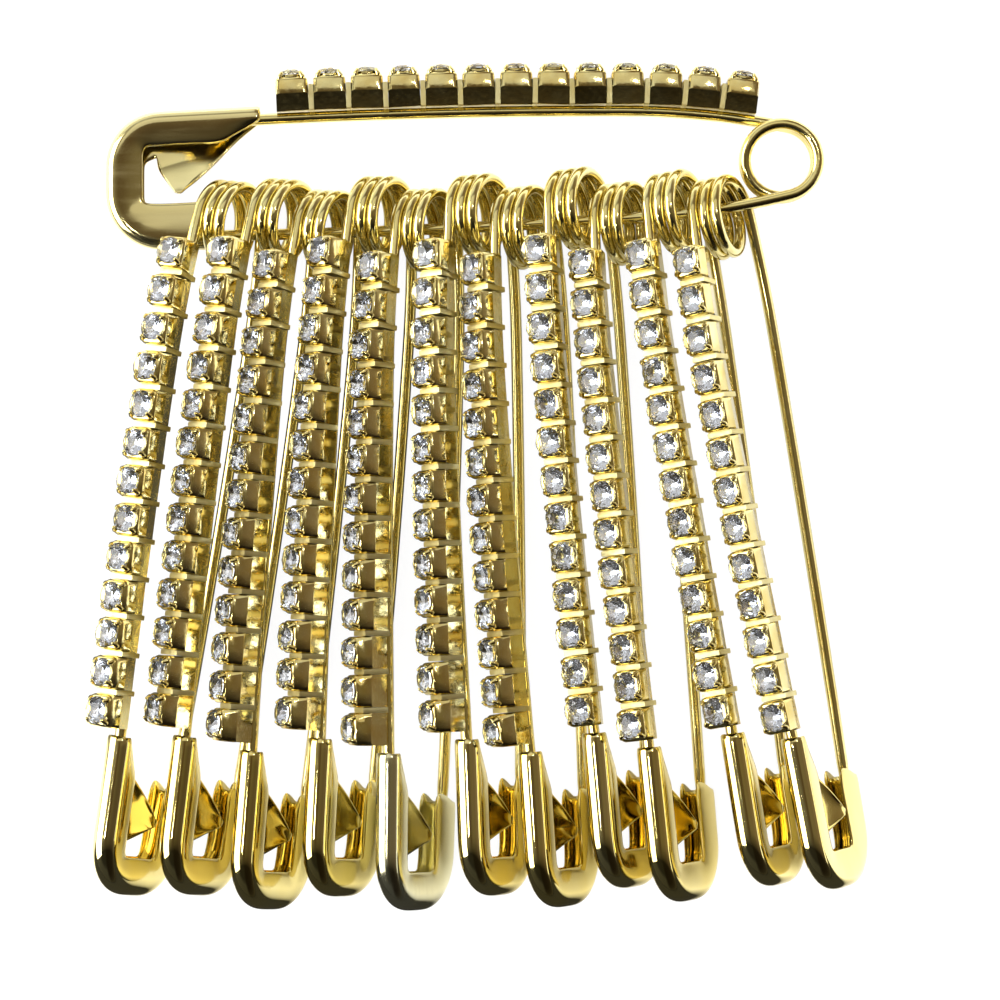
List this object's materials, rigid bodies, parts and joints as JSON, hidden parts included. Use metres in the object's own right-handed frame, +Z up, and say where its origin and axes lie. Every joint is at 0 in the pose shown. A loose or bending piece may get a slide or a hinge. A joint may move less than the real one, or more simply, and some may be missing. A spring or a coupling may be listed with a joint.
{
  "type": "safety pin brooch with hung safety pins",
  "caption": "Rhinestone coil safety pin lying level, with more such pins threaded on its needle by their coils and fanned below it; every needle can be pressed in.",
  "frame": {"origin": "on the floor under the middle of the bunch", "axes": "+X from the carrier pin's cap to its coil, +Y from the hung caps to the carrier pin, +Z up from the floor"},
  "size_m": [0.0813, 0.0888, 0.0173],
  "materials": {
    "gold_wire": "bright pale gold plate on drawn wire",
    "gold_cap": "bright gold plate on folded sheet",
    "gold_setting": "bright gold plate on a cup chain, darker between the cups",
    "rhinestone": "clear faceted glass with a silver foil back"
  },
  "bodies": {
    "root": {"frame_0": "gold_wire", "cap_0": "gold_cap", "setting_0": "gold_setting", "stones_0": "rhinestone", "frame_1": "gold_wire", "cap_1": "gold_cap", "setting_1": "gold_setting", "stones_1": "rhinestone", "frame_2": "gold_wire", "cap_2": "gold_cap", "setting_2": "gold_setting", "stones_2": "rhinestone", "frame_3": "gold_wire", "cap_3": "gold_cap", "setting_3": "gold_setting", "stones_3": "rhinestone", "frame_4": "gold_wire", "cap_4": "gold_cap", "setting_4": "gold_setting", "stones_4": "rhinestone", "frame_5": "gold_wire", "cap_5": "gold_cap", "setting_5": "gold_setting", "stones_5": "rhinestone", "frame_6": "gold_wire", "cap_6": "gold_cap", "setting_6": "gold_setting", "stones_6": "rhinestone", "frame_7": "gold_wire", "cap_7": "gold_cap", "setting_7": "gold_setting", "stones_7": "rhinestone", "frame_8": "gold_wire", "cap_8": "gold_cap", "setting_8": "gold_setting", "stones_8": "rhinestone", "frame_9": "gold_wire", "cap_9": "gold_cap", "setting_9": "gold_setting", "stones_9": "rhinestone", "frame_10": "gold_wire", "cap_10": "gold_cap", "setting_10": "gold_setting", "stones_10": "rhinestone", "frame_11": "gold_wire", "cap_11": "gold_cap", "setting_11": "gold_setting", "stones_11": "rhinestone"},
    "needle_body_0": {"needle_0": "gold_wire"},
    "needle_body_1": {"needle_1": "gold_wire"},
    "needle_body_2": {"needle_2": "gold_wire"},
    "needle_body_3": {"needle_3": "gold_wire"},
    "needle_body_4": {"needle_4": "gold_wire"},
    "needle_body_5": {"needle_5": "gold_wire"},
    "needle_body_6": {"needle_6": "gold_wire"},
    "needle_body_7": {"needle_7": "gold_wire"},
    "needle_body_8": {"needle_8": "gold_wire"},
    "needle_body_9": {"needle_9": "gold_wire"},
    "needle_body_10": {"needle_10": "gold_wire"},
    "needle_body_11": {"needle_11": "gold_wire"}
  },
  "joints": [
    {"name": "needle_press_0", "type": "hinge", "parent": "root", "child": "needle_body_0", "pos_m": [0.0309, 0.03395, 0.0034], "axis": [0, 0, -1], "range_deg": [0, 1.3], "stiffness_Nm_per_rad": 0.05, "springref_deg": -20.05},
    {"name": "needle_press_1", "type": "hinge", "parent": "root", "child": "needle_body_1", "pos_m": [-0.02685, 0.02741, 0.00448], "axis": [-0.8921, 0.1139, -0.4373], "range_deg": [0, 3], "stiffness_Nm_per_rad": 0.05, "springref_deg": -20.05},
    {"name": "needle_press_2", "type": "hinge", "parent": "root", "child": "needle_body_2", "pos_m": [-0.02132, 0.02763, 0.00448], "axis": [-0.8942, 0.0952, -0.4373], "range_deg": [0, 3], "stiffness_Nm_per_rad": 0.05, "springref_deg": -20.05},
    {"name": "needle_press_3", "type": "hinge", "parent": "root", "child": "needle_body_3", "pos_m": [-0.01656, 0.02645, 0.00448], "axis": [-0.8972, 0.0608, -0.4373], "range_deg": [0, 3], "stiffness_Nm_per_rad": 0.05, "springref_deg": -20.05},
    {"name": "needle_press_4", "type": "hinge", "parent": "root", "child": "needle_body_4", "pos_m": [-0.01103, 0.02793, 0.00448], "axis": [-0.8986, 0.0358, -0.4373], "range_deg": [0, 3], "stiffness_Nm_per_rad": 0.05, "springref_deg": -20.05},
    {"name": "needle_press_5", "type": "hinge", "parent": "root", "child": "needle_body_5", "pos_m": [-0.00627, 0.02661, 0.00448], "axis": [-0.8993, -0.0019, -0.4373], "range_deg": [0, 3], "stiffness_Nm_per_rad": 0.05, "springref_deg": -20.05},
    {"name": "needle_press_6", "type": "hinge", "parent": "root", "child": "needle_body_6", "pos_m": [-0.00074, 0.02815, 0.00448], "axis": [-0.8983, -0.0427, -0.4373], "range_deg": [0, 3], "stiffness_Nm_per_rad": 0.05, "springref_deg": -20.05},
    {"name": "needle_press_7", "type": "hinge", "parent": "root", "child": "needle_body_7", "pos_m": [0.00402, 0.02689, 0.00448], "axis": [-0.8965, -0.0709, -0.4373], "range_deg": [0, 3], "stiffness_Nm_per_rad": 0.05, "springref_deg": -20.05},
    {"name": "needle_press_8", "type": "hinge", "parent": "root", "child": "needle_body_8", "pos_m": [0.00955, 0.02881, 0.00448], "axis": [-0.895, -0.0881, -0.4373], "range_deg": [0, 3], "stiffness_Nm_per_rad": 0.05, "springref_deg": -20.05},
    {"name": "needle_press_9", "type": "hinge", "parent": "root", "child": "needle_body_9", "pos_m": [0.01431, 0.02731, 0.00448], "axis": [-0.8935, -0.1021, -0.4373], "range_deg": [0, 3], "stiffness_Nm_per_rad": 0.05, "springref_deg": -20.05},
    {"name": "needle_press_10", "type": "hinge", "parent": "root", "child": "needle_body_10", "pos_m": [0.01984, 0.02851, 0.00448], "axis": [-0.8864, -0.1519, -0.4373], "range_deg": [0, 3], "stiffness_Nm_per_rad": 0.05, "springref_deg": -20.05},
    {"name": "needle_press_11", "type": "hinge", "parent": "root", "child": "needle_body_11", "pos_m": [0.0246, 0.02791, 0.00448], "axis": [-0.8821, -0.175, -0.4373], "range_deg": [0, 3], "stiffness_Nm_per_rad": 0.05, "springref_deg": -20.05}
  ]
}
